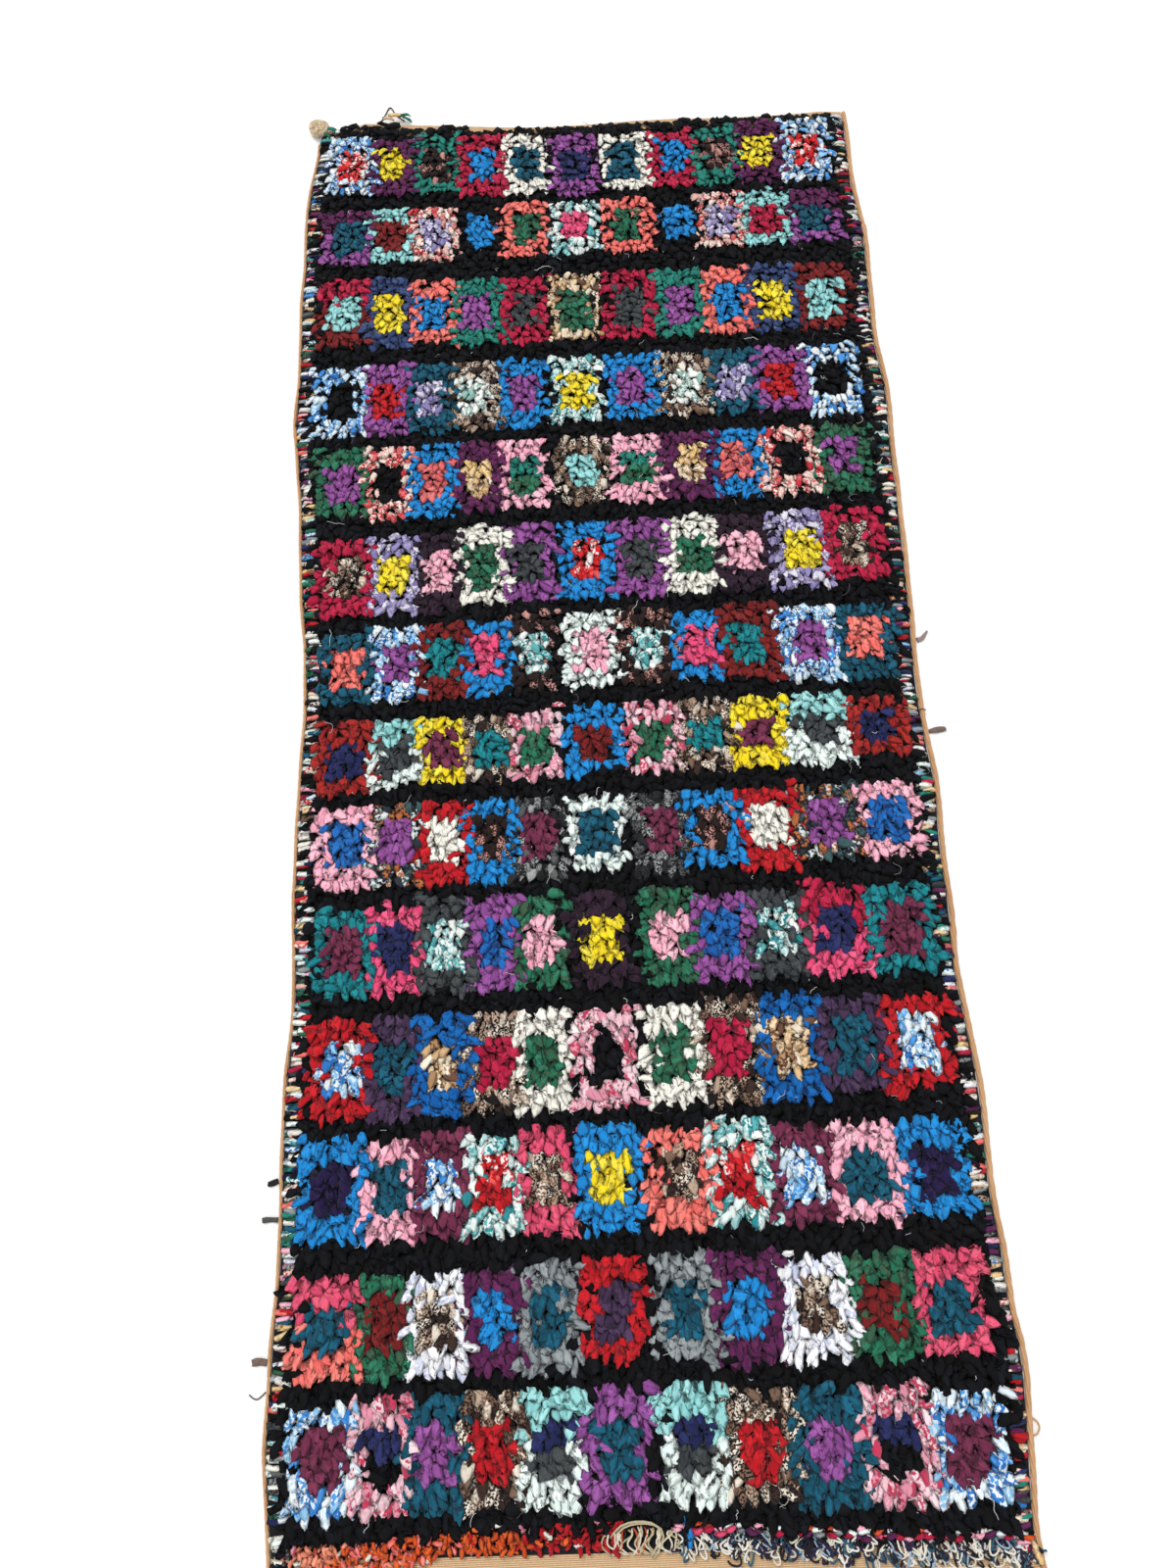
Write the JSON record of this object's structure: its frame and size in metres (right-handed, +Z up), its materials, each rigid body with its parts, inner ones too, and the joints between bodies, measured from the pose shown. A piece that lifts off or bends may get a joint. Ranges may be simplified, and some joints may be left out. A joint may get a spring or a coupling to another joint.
{
  "type": "boucherouite rag rug",
  "caption": "Flat cotton rug with a thick tied rag pile of framed oblongs on black, cotton edge cords, a corner knot and loose rag ends.",
  "frame": {"origin": "on the underside in the middle of the rug, half way along its length and its width, on the floor", "axes": "+Z up out of the pile, +Y along the length towards the end with the corner knot, +X towards the right-hand side"},
  "size_m": [1.3244, 3.0616, 0.0225],
  "materials": {
    "rag_pile": "matte cut jersey rags, black ground with many colours",
    "edge_cotton": "matte stranded cotton cord",
    "knot_calico": "matte unbleached cotton cloth",
    "loose_rag": "matte frayed rag strip",
    "loose_thread": "matte twisted thread"
  },
  "bodies": {
    "root": {"rug": "rag_pile", "edge_cord_left": "edge_cotton", "edge_cord_right": "edge_cotton", "corner_knot": "knot_calico", "tie_right_upper": "loose_rag", "tie_right_lower": "loose_rag", "tie_left_black": "loose_rag", "tie_left_grey": "loose_rag", "tie_left_brown": "loose_rag", "thread_left": "loose_thread", "thread_loop": "loose_thread"}
  },
  "joints": []
}
